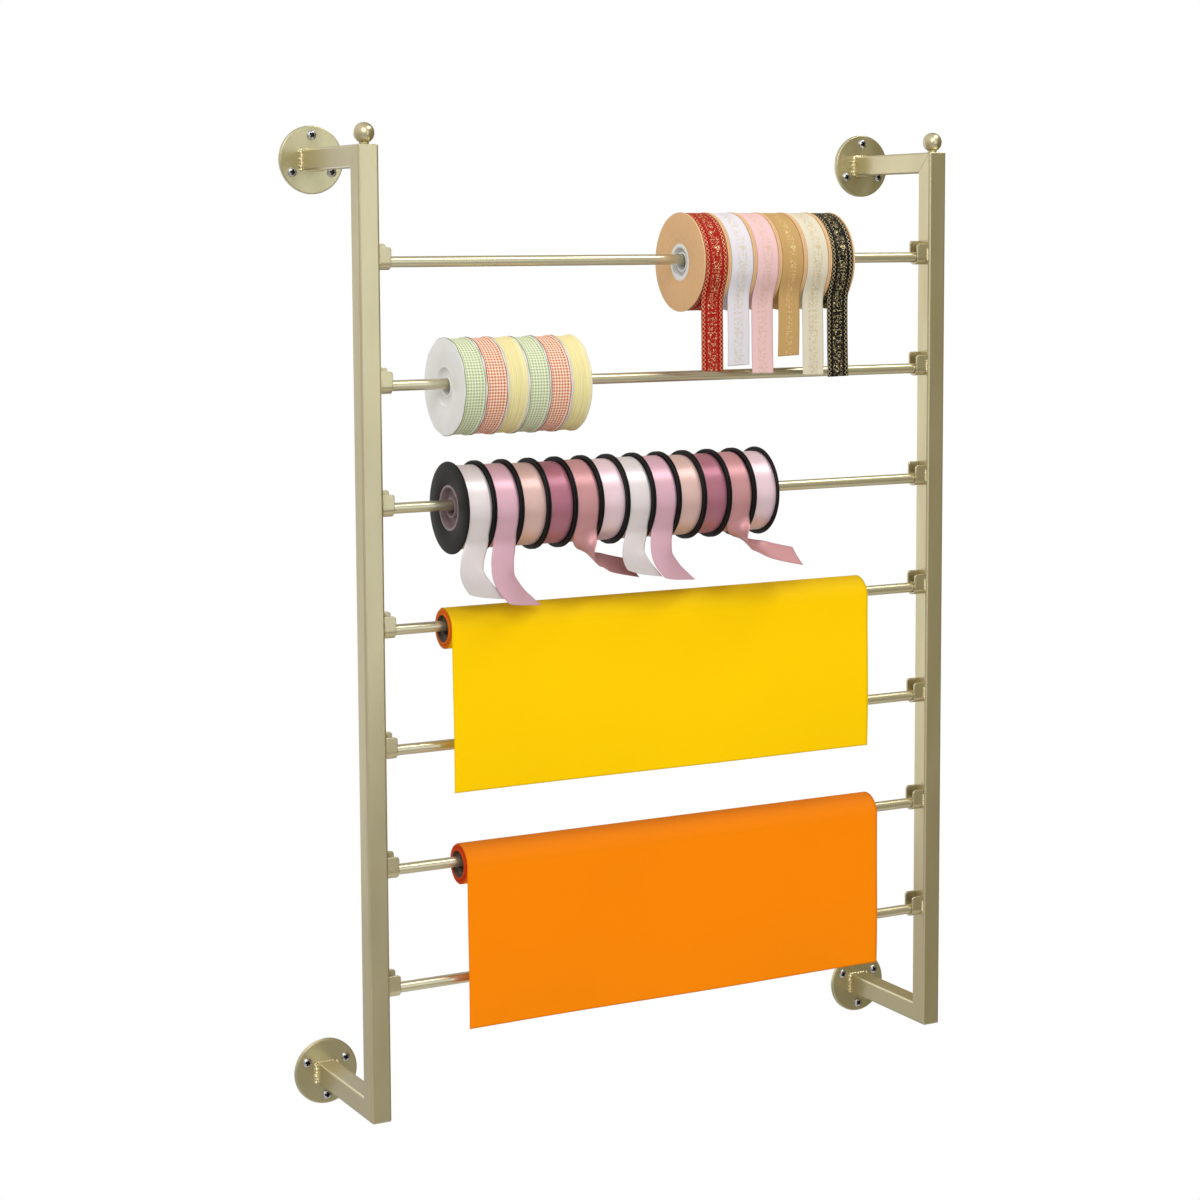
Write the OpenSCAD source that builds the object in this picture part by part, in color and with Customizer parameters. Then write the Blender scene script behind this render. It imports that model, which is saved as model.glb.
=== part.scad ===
/* [Side frames] */
// Height of each side frame, from the underside of the lower arm to the top of the upper one
frame_h = 900; // [880:5:1000]
// Width over the outer faces of the two side frames
frame_w = 640; // [600:5:800]
// Distance from the wall to the front faces of the uprights
frame_d = 140; // [125:1:180]
// Side of the square tube
tube_w = 20; // [18:0.5:25]
// Wall of the square tube
tube_wall = 1.5; // [1:0.1:2.5]
// Outside corner radius of the square tube
tube_r = 2; // [1:0.1:3]

/* [Wall flanges] */
// Diameter of a wall flange
flange_d = 64; // [58:0.5:80]
// Thickness of a wall flange
flange_t = 4; // [3:0.1:6]
// Radius of the flange's front edge
flange_edge_r = 1; // [0.4:0.1:2]
// Diameter of the circle through the screw holes
screw_circle_d = 46; // [44:0.5:50]
// Diameter of a screw hole
screw_hole_d = 5; // [4:0.1:6]

/* [Finials] */
// Diameter of the ball on top of each upright
finial_d = 19; // [14:0.5:22]
// Diameter of the neck under the ball
finial_neck_d = 9; // [6:0.5:12]
// Height of the neck that shows under the ball
finial_neck_h = 2; // [1:0.1:6]

/* [Rods] */
// Diameter of a rod
rod_d = 10; // [8:0.1:12]
// Height of the lowest rod above the underside of the frame
lowest_rod_h = 123; // [60:1:140]
// Distance from the highest rod up to the top of the frame
top_rod_gap = 105; // [90:1:120]
// Gap between a rod's end and the upright
rod_end_gap = 1; // [0.5:0.1:3]
// Chamfer on a rod's ends
rod_chamfer = 1; // [0.3:0.1:2]

/* [Saddles] */
// Width of the bent strip, along the rod
saddle_w = 12; // [8:0.5:16]
// Thickness of the bent strip
saddle_t = 2; // [1.5:0.1:3]
// Gap between the rod and the bend that it lies in
saddle_gap = 0.3; // [0.3:0.05:0.8]
// Height of the front leg above the rod's centre
saddle_front_h = 13.5; // [10:0.5:15]
// Height of the rear leg above the rod's centre
saddle_rear_h = 16.5; // [12:0.5:18]
// Corner radius at the free end of each leg
saddle_corner_r = 3; // [1:0.5:4]

/* [Every spool and roll] */
// Bore that runs on the rod
bore_d = 16; // [14:0.5:20]
// Gap between the rod and the top of the bore that hangs on it
running_gap = 0.3; // [0.3:0.05:0.8]
// Gap between neighbouring spools
spool_gap = 0.4; // [0.3:0.1:2]
// Gap between the reel and the ribbon wound on it
wind_gap = 0.1; // [0.05:0.05:0.2]
// Gap between a wound pack and its own hanging end
hang_gap = 0.3; // [0.3:0.05:0.6]
// Thickness of a hanging ribbon
ribbon_t = 0.5; // [0.4:0.1:1]
// Gap between a hanging ribbon's edge and the flange beside it
ribbon_side_gap = 0.3; // [0.3:0.1:1]
// Angle that a hanging ribbon lies on its pack before it drops
ribbon_wrap = 60; // [20:1:85]
// Thickness of the web across each hub, which the bore goes through
web_t = 14; // [6:0.5:18]

/* [Card spools of printed ribbon] */
// Distance from the left upright to the first card spool
card_start = 315.6; // [280:0.1:340]
// Diameter of a card disc
card_disc_d = 95; // [80:0.5:97]
// Thickness of a card disc
card_disc_t = 1.5; // [1:0.1:2]
// Outer diameter of the white hub
card_hub_d = 36; // [30:0.5:50]
// Wall of the white hub
card_hub_wall = 4; // [2:0.5:5]
// Width of the printed ribbon
card_ribbon_w = 25; // [15:1:30]
// Distance from the disc's edge in to the wound ribbon
card_fill_depth = 1; // [0.5:0.5:15]
// Length that the first printed ribbon hangs below its spool's axis
card_drop = 105; // [60:1:140]

/* [White spools of gingham ribbon] */
// Distance from the left upright to the first white spool
white_start = 66.3; // [40:0.1:90]
// Diameter of a white disc
white_disc_d = 90; // [80:0.5:92]
// Thickness of a white disc
white_disc_t = 1.2; // [1:0.1:2]
// Outer diameter of the hub
white_hub_d = 40; // [30:0.5:50]
// Wall of the hub
white_hub_wall = 2; // [2:0.5:5]
// Width of the gingham ribbon
white_ribbon_w = 19; // [12:1:25]
// Distance from the disc's edge in to the wound ribbon
white_fill_depth = 0.8; // [0.5:0.1:15]

/* [Black spools of satin ribbon] */
// Distance from the left upright to the first black spool
black_start = 69.3; // [40:0.1:90]
// Diameter of a black flange
black_disc_d = 86; // [76:0.5:88]
// Thickness of a black flange
black_disc_t = 1.2; // [1:0.1:2]
// Thickness of the bead that runs round a black flange's edge
black_bead_d = 1.8; // [1.4:0.1:2.4]
// Outer diameter of the grey hub
black_hub_d = 43; // [36:0.5:50]
// Wall of the grey hub
black_hub_wall = 2.5; // [2:0.5:5]
// Width of the satin ribbon
black_ribbon_w = 25; // [15:1:28]
// Distance from the flange's edge in to the wound ribbon
black_fill_depth = 4.3; // [3:0.1:15]
// Length that the first loose end hangs below its spool's axis
black_drop = 80; // [64:1:110]
// Height below the spool's axis at which a loose end starts to swing sideways
swing_start = 22; // [18:1:30]
// Sideways swing of a loose end at its tip, for the one that swings most
black_swing = 46; // [0:1:60]

/* [Rolls of sheet] */
// Distance from the left upright to the yellow roll
yellow_start = 61.5; // [30:0.5:100]
// Distance from the left upright to the orange roll
orange_start = 74.5; // [30:0.5:100]
// Length of the card core
core_l = 461; // [300:1:480]
// Outer diameter of the card core
core_d = 30; // [26:0.5:31]
// Wall of the card core
core_wall = 2.5; // [1.5:0.5:3]
// Length of the plug in each end of the core
plug_l = 15; // [6:0.5:40]
// Distance from the core's end in to the edge of the sheet
core_end = 1; // [0.5:0.5:10]
// Outer diameter of the wound sheet
roll_d = 38; // [34:0.5:50]
// Angle that a hanging sheet lies on its roll before it drops
sheet_wrap = 88; // [40:1:89]
// Thickness of the hanging sheet
sheet_t = 0.6; // [0.5:0.1:1]
// Length that the yellow sheet hangs below its roll's axis
yellow_drop = 151; // [100:1:200]
// Length that the orange sheet hangs below its roll's axis
orange_drop = 153; // [100:1:200]

/* [Hidden] */
$fn = 96;
eps = 0.5;          // overshoot of a cut past the face that it opens

rod_count = 7;
rod_pitch = (frame_h - lowest_rod_h - top_rod_gap) / (rod_count - 1);
card_colours = ["firebrick", "white", "pink", "tan", "cornsilk", "#202020"];
white_colours = ["#a9c48c", "#e0764a", "#f2e3a0", "#a9c48c", "#e0764a", "#f2e3a0"];
black_colours = ["#dcd0d2", "#d9a9bd", "#dcb0a8", "#b0718c", "#c28b93", "#e3bcc4",
                 "#dcd0d2", "#d9a9bd", "#dcb0a8", "#b0718c", "#c28b93", "#e3bcc4"];
card_count = len(card_colours);
white_count = len(white_colours);
black_count = len(black_colours);

// Length of each printed end, as a share of the first
card_shares = [1, 0.95, 1.04, 0.88, 1.07, 1.09];
// Black spools with a loose end: its number, and its length and swing as shares of the sizes above
black_ends = [[1, 1, 0.17], [2, 1.12, 0.7], [5, 0.95, 1], [7, 0.91, 0.48], [8, 1.01, 0.65],
              [11, 0.91, 1]];

metal = "#c9c2a2";
half_tube = tube_w / 2;
bottom_z = -half_tube;                    // the lower arm's centre line is at z = 0
top_z = frame_h - half_tube;
front_y = -frame_d;
rod_y = front_y + half_tube;
side_pitch = frame_w - tube_w;            // between the centre planes of the side frames
inner_x = half_tube;                      // the left upright's inner face
top_arm_z = top_z - half_tube;
rod_r = rod_d / 2;
rod_l = side_pitch - tube_w - 2 * rod_end_gap;
saddle_inner_r = rod_r + saddle_gap;
saddle_outer_r = saddle_inner_r + saddle_t;
finial_r = finial_d / 2;
finial_drop = sqrt(finial_r * finial_r - finial_neck_d * finial_neck_d / 4);
hang = bore_d / 2 - rod_r - running_gap;  // a spool's axis lies this far below its rod's

// The rod that carries each kind, counted from the top
card_row = 1;
white_row = 2;
black_row = 3;
yellow_row = 4;
orange_row = 6;

function rod_z(row) = bottom_z + lowest_rod_h + (rod_count - row) * rod_pitch;
function axis_z(row) = rod_z(row) - hang;
function reel_w(ribbon_w, disc_t) = ribbon_w + 2 * disc_t;
function spool_x(start, i, ribbon_w, disc_t) =
    inner_x + start + (i - 1) * (reel_w(ribbon_w, disc_t) + spool_gap);

FRAME_NODES = ["left_upright", "right_upright", "left_top_arm", "left_bottom_arm",
               "right_top_arm", "right_bottom_arm", "left_top_flange", "left_bottom_flange",
               "right_top_flange", "right_bottom_flange", "left_finial", "right_finial",
               "left_saddles", "right_saddles"];

// ---- side frames ----

module rounded_square(w, r) {
    square([w - 2 * r, w], center = true);
    square([w, w - 2 * r], center = true);
    for (x = [-1, 1], y = [-1, 1])
        translate([x * (w / 2 - r), y * (w / 2 - r)]) circle(r);
}

module tube_section() {
    difference() {
        rounded_square(tube_w, tube_r);
        rounded_square(tube_w - 2 * tube_wall, max(tube_r - tube_wall, 0.3));
    }
}

// A prism across the tube, from an outline of [y, z] points
module side_cut(points) {
    translate([-tube_w, 0, 0]) rotate([90, 0, 90]) linear_extrude(2 * tube_w) polygon(points);
}

// Both ends are mitred at 45 degrees to meet the arms
module upright() {
    color(metal) intersection() {
        translate([0, rod_y, bottom_z]) linear_extrude(frame_h) tube_section();
        side_cut([[front_y, bottom_z], [front_y + tube_w, bottom_z + tube_w],
                  [front_y + tube_w, top_z - tube_w], [front_y, top_z]]);
    }
}

// Mitred at the upright and square where it is welded to the flange;
// side is 1 for a top arm and -1 for a bottom one
module arm(z, side) {
    outer_z = z + side * half_tube;
    inner_z = z - side * half_tube;
    color(metal) intersection() {
        translate([0, 0, z]) rotate([90, 0, 0]) linear_extrude(frame_d) tube_section();
        side_cut([[front_y, outer_z], [front_y + tube_w, inner_z],
                  [-flange_t, inner_z], [-flange_t, outer_z]]);
    }
}

// The odd screw hole points away from the middle of the frame
module flange(z, side) {
    edge_y = flange_t - flange_edge_r;
    color(metal) translate([0, 0, z]) rotate([90, 0, 0]) difference() {
        rotate_extrude() {
            square([flange_d / 2, edge_y]);
            square([flange_d / 2 - flange_edge_r, flange_t]);
            translate([flange_d / 2 - flange_edge_r, edge_y]) circle(flange_edge_r, $fn = 12);
        }
        for (k = [0:2])
            rotate(side * (90 + 120 * k)) translate([screw_circle_d / 2, 0, -eps])
                cylinder(d = screw_hole_d, h = flange_t + 2 * eps);
    }
}

module finial() {
    color(metal) translate([0, rod_y, top_z]) {
        cylinder(d = finial_neck_d, h = finial_neck_h + finial_drop);
        translate([0, 0, finial_neck_h + finial_drop]) sphere(d = finial_d);
    }
}

// ---- saddles and rods ----

// One upstanding leg of a saddle: its free top corner is rounded, away from the upright
module saddle_leg(h) {
    rotate([90, 0, 0]) linear_extrude(saddle_t) {
        square([saddle_w, h - saddle_corner_r]);
        square([saddle_w - saddle_corner_r, h]);
        translate([saddle_w - saddle_corner_r, h - saddle_corner_r]) circle(saddle_corner_r);
    }
}

// A strip bent round under the rod, open at the top, welded by one edge to the upright
module saddle() {
    rotate([90, 0, 90]) linear_extrude(saddle_w) difference() {
        circle(saddle_outer_r);
        circle(saddle_inner_r);
        translate([-2 * saddle_outer_r, 0]) square(4 * saddle_outer_r);
    }
    translate([0, -saddle_inner_r, 0]) saddle_leg(saddle_front_h);
    translate([0, saddle_outer_r, 0]) saddle_leg(saddle_rear_h);
}

module saddles() {
    color(metal) for (row = [1:rod_count])
        translate([inner_x, rod_y, rod_z(row)]) saddle();
}

module rod(row) {
    color(metal) translate([inner_x + rod_end_gap, rod_y, rod_z(row)]) rotate([0, 90, 0])
        rotate_extrude() polygon([
            [0, 0], [rod_r - rod_chamfer, 0], [rod_r, rod_chamfer],
            [rod_r, rod_l - rod_chamfer], [rod_r - rod_chamfer, rod_l], [0, rod_l]]);
}

// ---- spools ----

// Half a reel's section as [radius, distance from the middle]: the hub and its bored web
module hub_section(half_w, hub_d, hub_wall) {
    bore_r = bore_d / 2;
    translate([hub_d / 2 - hub_wall, 0]) square([hub_wall, half_w]);
    translate([bore_r, 0]) square([hub_d / 2 - hub_wall - bore_r, web_t / 2]);
}

// bead_d is the thickness of an eight-sided bead round the disc's edge; 0 leaves the edge plain
module disc_section(half_w, disc_d, disc_t, hub_d, bead_d) {
    inner_r = hub_d / 2 - eps;
    edge_r = disc_d / 2;
    cut = bead_d * (1 - tan(22.5)) / 2;
    if (bead_d == 0)
        translate([inner_r, half_w - disc_t]) square([edge_r - inner_r, disc_t]);
    else
        polygon([
            [inner_r, half_w], [inner_r, half_w - disc_t], [edge_r - bead_d, half_w - disc_t],
            [edge_r - bead_d + cut, half_w - bead_d], [edge_r - cut, half_w - bead_d],
            [edge_r, half_w - bead_d + cut], [edge_r, half_w - cut], [edge_r - cut, half_w]]);
}

module reel(disc_d, disc_t, hub_d, hub_wall, ribbon_w, bead_d) {
    half_w = reel_w(ribbon_w, disc_t) / 2;
    rotate_extrude() for (m = [0, 1]) mirror([0, m]) {
        hub_section(half_w, hub_d, hub_wall);
        disc_section(half_w, disc_d, disc_t, hub_d, bead_d);
    }
}

// Ribbon wound between the discs
module wound_pack(pack_d, hub_d, w) {
    inner_r = hub_d / 2 + wind_gap;
    rotate_extrude() translate([inner_r, -w / 2]) square([pack_d / 2 - inner_r, w]);
}

// A spool on its rod: the reel and, as a solid of its own, the wound ribbon
module spool(x, row, disc_d, disc_t, hub_d, hub_wall, ribbon_w, fill_depth, reel_colour,
             ribbon_colour, bead_d = 0) {
    translate([x + reel_w(ribbon_w, disc_t) / 2, rod_y, axis_z(row)]) rotate([0, 90, 0]) {
        color(reel_colour) reel(disc_d, disc_t, hub_d, hub_wall, ribbon_w, bead_d);
        color(ribbon_colour)
            wound_pack(disc_d - 2 * fill_depth, hub_d, ribbon_w - 2 * wind_gap);
    }
}

module card_spool(i) {
    spool(spool_x(card_start, i, card_ribbon_w, card_disc_t), card_row, card_disc_d, card_disc_t,
          card_hub_d, card_hub_wall, card_ribbon_w, card_fill_depth, "burlywood", card_colours[i - 1]);
}

module white_spool(i) {
    spool(spool_x(white_start, i, white_ribbon_w, white_disc_t), white_row, white_disc_d, white_disc_t,
          white_hub_d, white_hub_wall, white_ribbon_w, white_fill_depth, "white", white_colours[i - 1]);
}

module black_spool(i) {
    spool(spool_x(black_start, i, black_ribbon_w, black_disc_t), black_row, black_disc_d, black_disc_t,
          black_hub_d, black_hub_wall, black_ribbon_w, black_fill_depth, "#303030",
          black_colours[i - 1], black_bead_d);
}

// ---- hanging ends ----

// Lies on the front of a pack of radius r from wrap degrees above its axis, w wide, t thick
module wrapped_strip(r, w, t, wrap) {
    reach = 2 * (r + t);
    rotate([90, 0, 90]) linear_extrude(w) intersection() {
        difference() {
            circle(r + t);
            circle(r);
        }
        polygon(concat([[0, 0]], [for (k = [0:2])
            [-reach * cos(k * wrap / 2), reach * sin(k * wrap / 2)]]));
    }
}

// The same strip, falling from there: straight to start, then sideways by swing at its end
module hanging_strip(r, w, t, wrap, drop, start = 0, swing = 0) {
    wrapped_strip(r, w, t, wrap);
    translate([0, -r, 0]) rotate([90, 0, 0]) linear_extrude(t) polygon([
        [0, 0], [0, -start], [swing, -drop], [w + swing, -drop], [w, -start], [w, 0]]);
}

// Runs between the discs of its reel, clear of edges that are edge_t thick
module ribbon_end(x, row, pack_r, w, edge_t, drop, swing) {
    side = edge_t + ribbon_side_gap;
    translate([x + side, rod_y, axis_z(row)])
        hanging_strip(pack_r + hang_gap, w - 2 * side, ribbon_t, ribbon_wrap, drop, swing_start,
                      swing);
}

module card_ribbon_ends() {
    for (i = [1:card_count]) color(card_colours[i - 1])
        ribbon_end(spool_x(card_start, i, card_ribbon_w, card_disc_t), card_row,
                   card_disc_d / 2 - card_fill_depth, reel_w(card_ribbon_w, card_disc_t),
                   card_disc_t, card_drop * card_shares[i - 1], 0);
}

module black_ribbon_ends() {
    for (e = black_ends) color(black_colours[e[0] - 1])
        ribbon_end(spool_x(black_start, e[0], black_ribbon_w, black_disc_t), black_row,
                   black_disc_d / 2 - black_fill_depth, reel_w(black_ribbon_w, black_disc_t),
                   max(black_disc_t, black_bead_d), black_drop * e[1], black_swing * e[2]);
}

// ---- rolls of sheet ----

module ring(outer_d, inner_d, l) {
    rotate_extrude() translate([inner_d / 2, 0]) square([(outer_d - inner_d) / 2, l]);
}

// A card tube with a plug in each end, bored to run on the rod
module core(start, row) {
    color("#8a7f76") translate([inner_x + start, rod_y, axis_z(row)]) rotate([0, 90, 0]) {
        ring(core_d, core_d - 2 * core_wall, core_l);
        for (x = [0, core_l - plug_l]) translate([0, 0, x]) ring(core_d, bore_d, plug_l);
    }
}

module roll(start, row, colour) {
    color(colour) translate([inner_x + start + core_end, rod_y, axis_z(row)]) rotate([0, 90, 0])
        ring(roll_d, core_d + 2 * wind_gap, core_l - 2 * core_end);
}

// Comes over the top of its roll and hangs in front of the rod below
module sheet(start, row, drop, colour) {
    color(colour) translate([inner_x + start + core_end, rod_y, axis_z(row)])
        hanging_strip(roll_d / 2 + hang_gap, core_l - 2 * core_end, sheet_t, sheet_wrap, drop);
}

upright();  // left_upright
translate([side_pitch, 0, 0]) upright();  // right_upright
arm(top_arm_z, 1);  // left_top_arm
arm(0, -1);  // left_bottom_arm
translate([side_pitch, 0, 0]) arm(top_arm_z, 1);  // right_top_arm
translate([side_pitch, 0, 0]) arm(0, -1);  // right_bottom_arm
flange(top_arm_z, 1);  // left_top_flange
flange(0, -1);  // left_bottom_flange
translate([side_pitch, 0, 0]) flange(top_arm_z, 1);  // right_top_flange
translate([side_pitch, 0, 0]) flange(0, -1);  // right_bottom_flange
finial();  // left_finial
translate([side_pitch, 0, 0]) finial();  // right_finial
saddles();  // left_saddles
translate([side_pitch, 0, 0]) mirror([1, 0, 0]) saddles();  // right_saddles
for (i = [1:rod_count]) rod(i);
for (i = [1:card_count]) card_spool(i);
for (i = [1:white_count]) white_spool(i);
for (i = [1:black_count]) black_spool(i);
card_ribbon_ends();
black_ribbon_ends();
core(yellow_start, yellow_row);  // yellow_core
roll(yellow_start, yellow_row, "#fdce00");  // yellow_roll
sheet(yellow_start, yellow_row, yellow_drop, "#fdce00");  // yellow_sheet
core(orange_start, orange_row);  // orange_core
roll(orange_start, orange_row, "#f88a0a");  // orange_roll
sheet(orange_start, orange_row, orange_drop, "#f88a0a");  // orange_sheet
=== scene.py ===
import math

import bmesh
import bpy
import numpy as np
from mathutils import Matrix, Vector


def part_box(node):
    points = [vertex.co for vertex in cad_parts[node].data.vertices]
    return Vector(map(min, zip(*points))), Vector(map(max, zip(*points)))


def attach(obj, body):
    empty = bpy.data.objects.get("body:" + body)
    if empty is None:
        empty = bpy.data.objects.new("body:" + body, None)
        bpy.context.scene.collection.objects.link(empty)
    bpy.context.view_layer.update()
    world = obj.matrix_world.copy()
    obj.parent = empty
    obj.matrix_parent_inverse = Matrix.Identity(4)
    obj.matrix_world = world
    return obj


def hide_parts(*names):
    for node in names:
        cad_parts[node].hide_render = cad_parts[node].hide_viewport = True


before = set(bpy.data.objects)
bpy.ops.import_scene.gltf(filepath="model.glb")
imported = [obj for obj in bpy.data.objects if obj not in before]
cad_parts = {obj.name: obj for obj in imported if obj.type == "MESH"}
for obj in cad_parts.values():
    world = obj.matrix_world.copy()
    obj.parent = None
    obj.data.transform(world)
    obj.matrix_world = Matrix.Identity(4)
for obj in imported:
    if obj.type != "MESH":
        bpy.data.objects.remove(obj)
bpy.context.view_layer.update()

mm = 0.001

# shader nodes


def calc(tree, operation, a, b=None, c=None):
    node = tree.nodes.new("ShaderNodeMath")
    node.operation = operation
    for socket, value in zip(node.inputs, (a, b, c)):
        if isinstance(value, bpy.types.NodeSocket):
            tree.links.new(value, socket)
        elif value is not None:
            socket.default_value = value
    return node.outputs[0]


def blendColour(tree, factor, a, b):
    node = tree.nodes.new("ShaderNodeMix")
    node.data_type = "RGBA"
    for socket, value in zip((node.inputs[0], node.inputs[6], node.inputs[7]), (factor, a, b)):
        if isinstance(value, bpy.types.NodeSocket):
            tree.links.new(value, socket)
        else:
            socket.default_value = value if isinstance(value, float) else (*value, 1)
    return node.outputs[2]


def rescale(tree, value, low, high, fromLow=0.0, fromHigh=1.0):
    # low at fromLow and high at fromHigh, on a straight line between and held beyond
    node = tree.nodes.new("ShaderNodeMapRange")
    tree.links.new(value, node.inputs["Value"])
    numbers = {"From Min": fromLow, "From Max": fromHigh, "To Min": low, "To Max": high}
    for key, number in numbers.items():
        node.inputs[key].default_value = number
    return node.outputs["Result"]


# camera and light

view = {
    "place": (-0.8989, -2.2568, 0.8016),
    "yawDegrees": 28.122,        # to the right of straight at the wall
    "pitchDegrees": 5.78,        # down
    "rollDegrees": -0.291,
    "focalPixels": 2545.4,
    "imagePixels": 1200,
    "axisRow": 500,              # row of the frame that the lens looks straight at
    "sensor": 36,
}


def placeCamera(s):
    yaw, pitch, roll = (math.radians(s[k]) for k in ("yawDegrees", "pitchDegrees", "rollDegrees"))
    level = math.cos(pitch)
    ahead = Vector((math.sin(yaw) * level, math.cos(yaw) * level, -math.sin(pitch)))
    right = Vector((math.cos(yaw), -math.sin(yaw), 0))
    up = right.cross(ahead)
    tiltedRight = right * math.cos(roll) + up * math.sin(roll)
    tiltedUp = up * math.cos(roll) - right * math.sin(roll)
    lens = bpy.data.cameras.new("viewCamera")
    lens.sensor_width = s["sensor"]
    lens.lens = s["focalPixels"] / s["imagePixels"] * s["sensor"]
    lens.shift_y = (s["axisRow"] - s["imagePixels"] / 2) / s["imagePixels"]
    camera = bpy.data.objects.new("viewCamera", lens)
    turned = Matrix((tiltedRight, tiltedUp, -ahead)).transposed().to_4x4()
    camera.matrix_world = Matrix.Translation(s["place"]) @ turned
    bpy.context.scene.collection.objects.link(camera)
    bpy.context.scene.camera = camera


softboxes = {       # place, where it points, width and height, power and colour
    "keySoftbox": ((-1.1, -3.0, 2.6), (0.3, -0.1, 0.45), (2.2, 2.2), 54, (1, 1, 1)),
    "frontSoftbox": ((1.05, -3.0, 0.75), (0.1, -0.1, 0.45), (1.0, 1.9), 8.6, (0.86, 0.93, 1.0)),
    "innerSoftbox": ((0.05, 1.3, 0.5), (0.6, -0.13, 0.4), (1.0, 1.4), 3, (1, 1, 1)),
    "topSoftbox": ((1.5, -1.0, 2.7), (0.3, -0.15, 0.5), (1.6, 0.45), 26, (1, 1, 1)),
}


def placeSoftbox(name, place, target, size, power, colour):
    lamp = bpy.data.lights.new(name, "AREA")
    lamp.shape = "RECTANGLE"
    (lamp.size, lamp.size_y), lamp.energy, lamp.color = size, power, colour
    softbox = bpy.data.objects.new(name, lamp)
    softbox.location = place
    softbox.rotation_euler = (Vector(target) - Vector(place)).to_track_quat("-Z", "Y").to_euler()
    softbox.visible_camera = False
    bpy.context.scene.collection.objects.link(softbox)


studio = {          # a ramp is its two brightnesses, then where along x or z it has them
    "rampX": (0.90, 0.30, -0.3, 0.7), "rampZ": (0.44, 1.0, -0.7, 0.5),
    "pale": (1.0, 0.965, 0.89), "warm": (1.0, 0.82, 0.38), "warmFrom": 0.39, "warmAll": 0.57,
}


def makeWorld(s):
    # the room as the object sees it: each way's brightness is one ramp over x times one over z, and
    # its colour goes from pale on the left to warm on the right
    world = bpy.data.worlds.new("studio")
    world.use_nodes = True
    bpy.context.scene.world = world
    tree = world.node_tree
    tree.nodes.clear()
    place = tree.nodes.new("ShaderNodeTexCoord")
    split = tree.nodes.new("ShaderNodeSeparateXYZ")
    tree.links.new(place.outputs["Generated"], split.inputs[0])
    x, z = split.outputs["X"], split.outputs["Z"]
    warmth = rescale(tree, x, 0.0, 1.0, s["warmFrom"], s["warmAll"])
    bright = calc(tree, "MULTIPLY", rescale(tree, x, *s["rampX"]), rescale(tree, z, *s["rampZ"]))
    room = tree.nodes.new("ShaderNodeBackground")
    tree.links.new(blendColour(tree, warmth, s["pale"], s["warm"]), room.inputs["Color"])
    tree.links.new(bright, room.inputs["Strength"])
    seen = tree.nodes.new("ShaderNodeBackground")
    seen.inputs["Color"].default_value = (1, 1, 1, 1)
    ray = tree.nodes.new("ShaderNodeLightPath")
    mix = tree.nodes.new("ShaderNodeMixShader")
    out = tree.nodes.new("ShaderNodeOutputWorld")
    tree.links.new(ray.outputs["Is Camera Ray"], mix.inputs["Fac"])
    tree.links.new(room.outputs[0], mix.inputs[1])
    tree.links.new(seen.outputs[0], mix.inputs[2])
    tree.links.new(mix.outputs[0], out.inputs["Surface"])


placeCamera(view)
makeWorld(studio)
for softboxName, settings in softboxes.items():
    placeSoftbox(softboxName, *settings)
bpy.context.scene.view_settings.view_transform = "Standard"
print("camera and light placed")

# mesh making


def gridQuads(rows, columns):
    # corners of every cell of a rows by columns grid of points, in order round the cell
    i, j = np.meshgrid(np.arange(rows - 1), np.arange(columns - 1), indexing="ij")
    a = (i * columns + j).ravel()
    return np.stack([a, a + columns, a + columns + 1, a + 1], axis=1)


def surface(points, u, v, slot=0):
    # points is rows x columns x 3; u and v broadcast to rows x columns
    rows, columns = points.shape[:2]
    uv = np.stack([np.broadcast_to(value, (rows, columns)) for value in (u, v)], axis=-1)
    return {"points": points.reshape(-1, 3), "uv": uv.reshape(-1, 2),
            "quads": gridQuads(rows, columns), "slot": slot}


def makePiece(name, parts, materials, closed=True, smooth=40):
    # parts are surfaces, and each one's slot picks from materials. A closed piece has its seams and
    # poles merged and its faces turned outwards; edges sharper than smooth degrees stay sharp
    counts = np.cumsum([0] + [len(p["points"]) for p in parts])
    points = np.concatenate([p["points"] for p in parts])
    quads = np.concatenate([p["quads"] + n for p, n in zip(parts, counts)])
    uv = np.concatenate([p["uv"] for p in parts])
    slots = np.concatenate([np.full(len(p["quads"]), p["slot"]) for p in parts])
    mesh = bpy.data.meshes.new(name)
    mesh.vertices.add(len(points))
    mesh.vertices.foreach_set("co", points.ravel())
    mesh.loops.add(quads.size)
    mesh.loops.foreach_set("vertex_index", quads.ravel())
    mesh.polygons.add(len(quads))
    mesh.polygons.foreach_set("loop_start", np.arange(0, quads.size, 4))
    mesh.polygons.foreach_set("material_index", slots)
    mesh.uv_layers.new(name="lay")
    mesh.uv_layers["lay"].data.foreach_set("uv", uv[quads.ravel()].ravel())
    mesh.update(calc_edges=True)
    for material in materials:
        mesh.materials.append(material)
    if closed:
        work = bmesh.new()
        work.from_mesh(mesh)
        bmesh.ops.remove_doubles(work, verts=work.verts, dist=0.002 * mm)
        bmesh.ops.dissolve_degenerate(work, edges=work.edges, dist=0.0001 * mm)
        bmesh.ops.recalc_face_normals(work, faces=work.faces)
        work.to_mesh(mesh)
        work.free()
    mesh.validate()
    mesh.shade_smooth()
    mesh.set_sharp_from_angle(angle=math.radians(smooth))
    piece = bpy.data.objects.new(name, mesh)
    bpy.context.scene.collection.objects.link(piece)
    return piece


def thicken(piece, thickness):
    # half of the thickness to either side
    wall = piece.modifiers.new("thickness", "SOLIDIFY")
    wall.thickness, wall.offset = thickness, 0


def ease(t):
    # smoothstep: 3 t^2 - 2 t^3, held at 0 and 1 outside that span
    t = np.clip(t, 0, 1)
    return t * t * (3 - 2 * t)


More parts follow.
